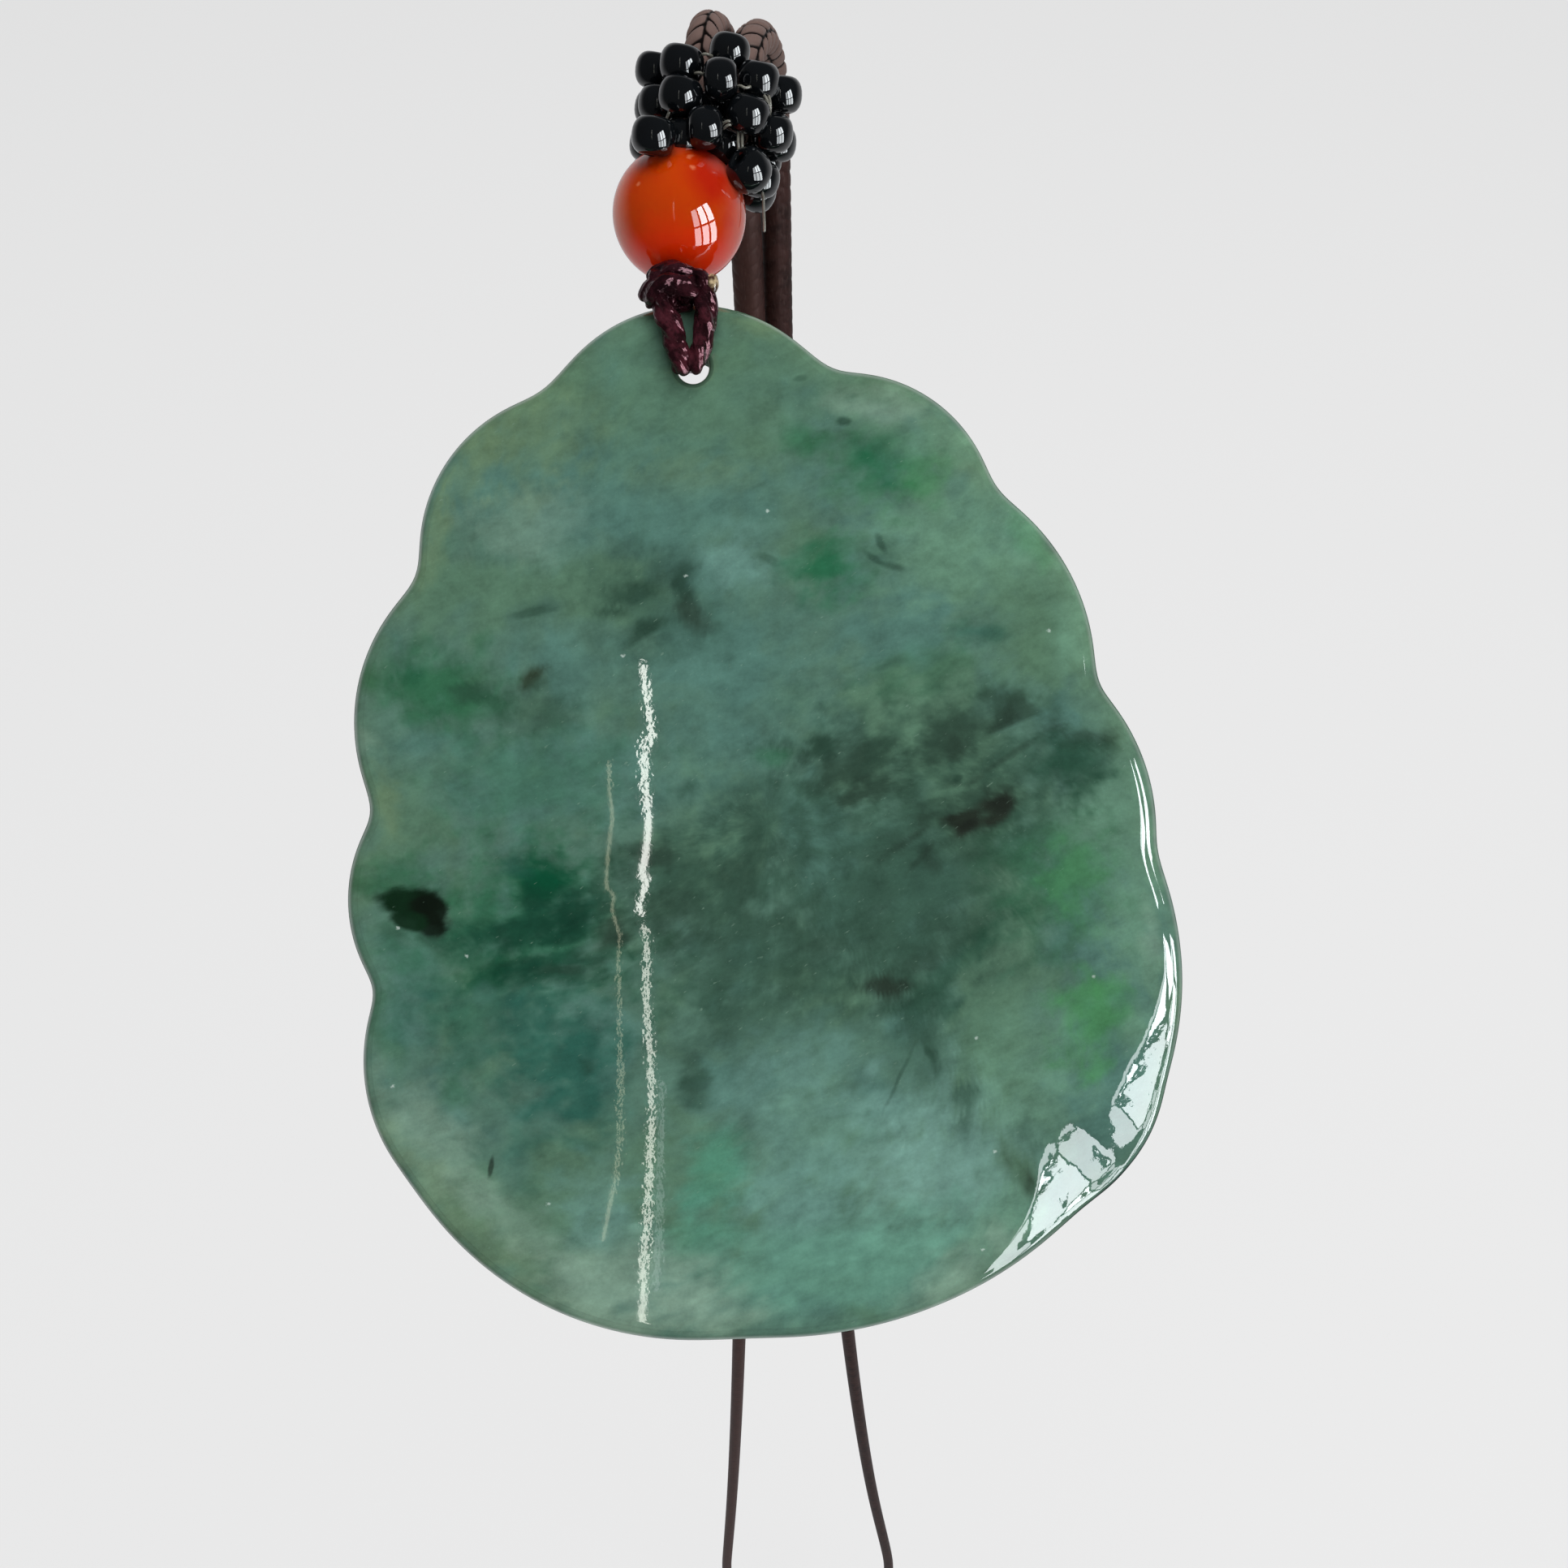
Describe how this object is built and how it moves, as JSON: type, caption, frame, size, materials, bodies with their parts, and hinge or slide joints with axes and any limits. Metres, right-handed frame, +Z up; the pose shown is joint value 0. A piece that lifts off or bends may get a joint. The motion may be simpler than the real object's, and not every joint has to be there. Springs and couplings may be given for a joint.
{
  "type": "jade pendant on a neck cord",
  "caption": "Lobed flat jade plate hung by a knotted thread from an agate bead and a beaded sleeve on a looped braided neck cord.",
  "frame": {"origin": "middle of the jade plate's flat back, where a hand or stand holds the leaning plate", "axes": "+X to the right across the plate, +Z up, -Y towards the viewer; the plate leans back 50 degrees with its face up and forward, and the neck cord hangs along -Z behind it"},
  "size_m": [0.0534, 0.0697, 0.4206],
  "materials": {
    "jade": "polished",
    "waxed_thread": "satin",
    "agate": "polished",
    "seed_beads": "polished",
    "neck_cord": "satin"
  },
  "bodies": {
    "root": {"jade_plate": "jade", "waxed_thread": "waxed_thread", "agate_bead": "agate", "bead_sleeve": "seed_beads", "neck_cord": "neck_cord"}
  },
  "joints": []
}
